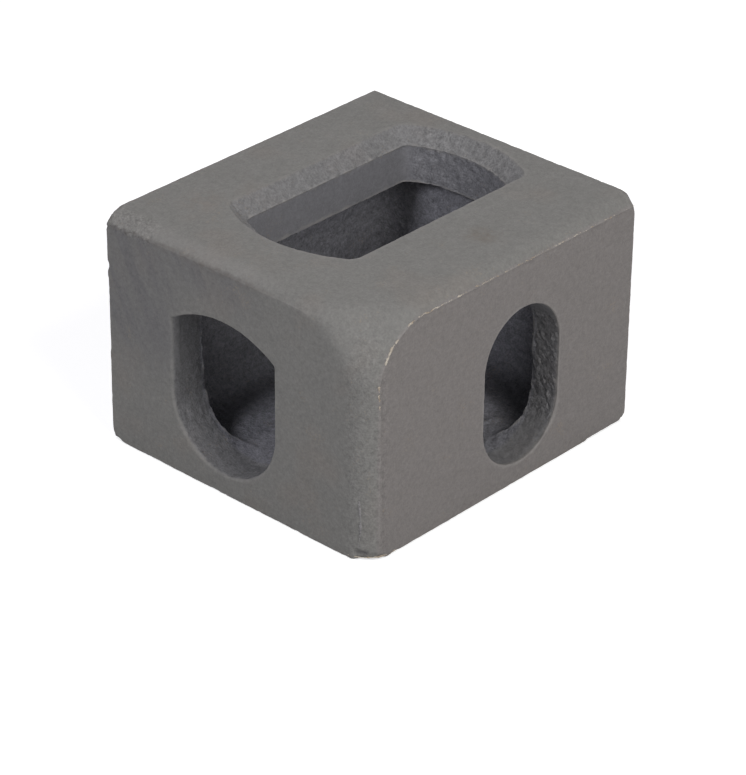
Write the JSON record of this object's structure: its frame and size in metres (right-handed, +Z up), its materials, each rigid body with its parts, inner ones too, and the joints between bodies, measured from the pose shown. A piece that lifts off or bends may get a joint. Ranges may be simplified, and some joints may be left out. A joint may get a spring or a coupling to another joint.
{
  "type": "container corner casting",
  "caption": "Hollow one-piece steel corner casting with a bevelled top aperture, an oval side aperture and a shield-shaped end aperture for lifting, stacking and lashing.",
  "frame": {"origin": "middle of the base, in the middle of the length and the width", "axes": "+Z up to the top face, -X to the end face, -Y to the side face; the rails of the container's frame leave towards +X and +Y"},
  "size_m": [0.178, 0.162, 0.118],
  "materials": {
    "cast_steel": "as-cast steel with a matt dark grey skin, ground faces and a thin bare flash line"
  },
  "bodies": {
    "root": {"corner_casting": "cast_steel"}
  },
  "joints": []
}
